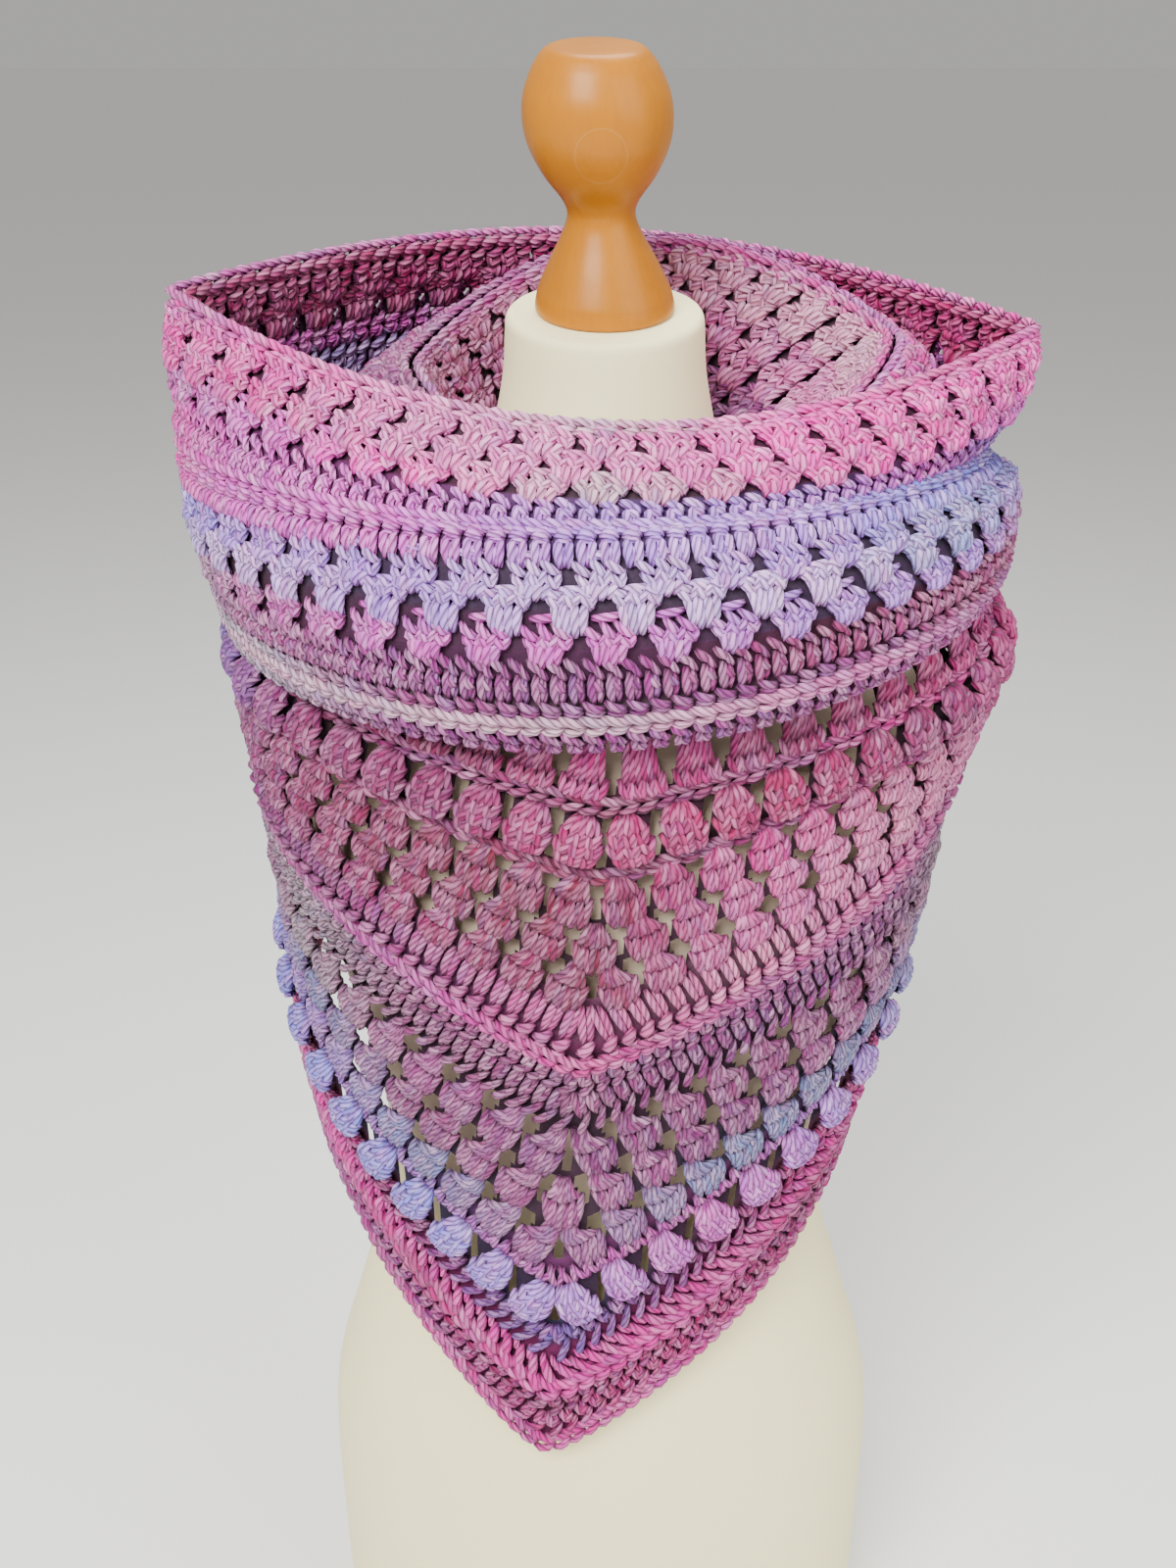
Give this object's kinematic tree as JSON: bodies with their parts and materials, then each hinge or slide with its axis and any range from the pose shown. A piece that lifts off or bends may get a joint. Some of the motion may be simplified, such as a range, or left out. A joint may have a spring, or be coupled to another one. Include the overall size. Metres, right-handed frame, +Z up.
{
  "type": "hooded scarf on a dress form",
  "caption": "Chunky crocheted hooded scarf in marled pink, lilac and plum yarn, hood worn down, on a limbless jersey dress form with a turned maple knob.",
  "frame": {"origin": "on the floor, under the middle of the whole model, just behind the dress form's own axis", "axes": "+Z up, -Y out of the front, +X towards the wearer's left, which is the viewer's right"},
  "size_m": [0.4378, 0.3533, 1.007],
  "materials": {
    "pink_yarn": "soft marled yarn",
    "lilac_yarn": "soft marled yarn",
    "plum_yarn": "soft marled yarn",
    "jersey": "matt cotton jersey",
    "maple": "satin varnish"
  },
  "bodies": {
    "root": {"hood_front": "pink_yarn", "hood_back": "lilac_yarn", "fall_front": "plum_yarn", "fall_back": "plum_yarn", "rim_edging": "pink_yarn", "collar_stand": "plum_yarn", "body_front": "pink_yarn", "body_back": "lilac_yarn", "hem_edging": "pink_yarn", "form_body": "jersey", "neck_knob": "maple"}
  },
  "joints": []
}
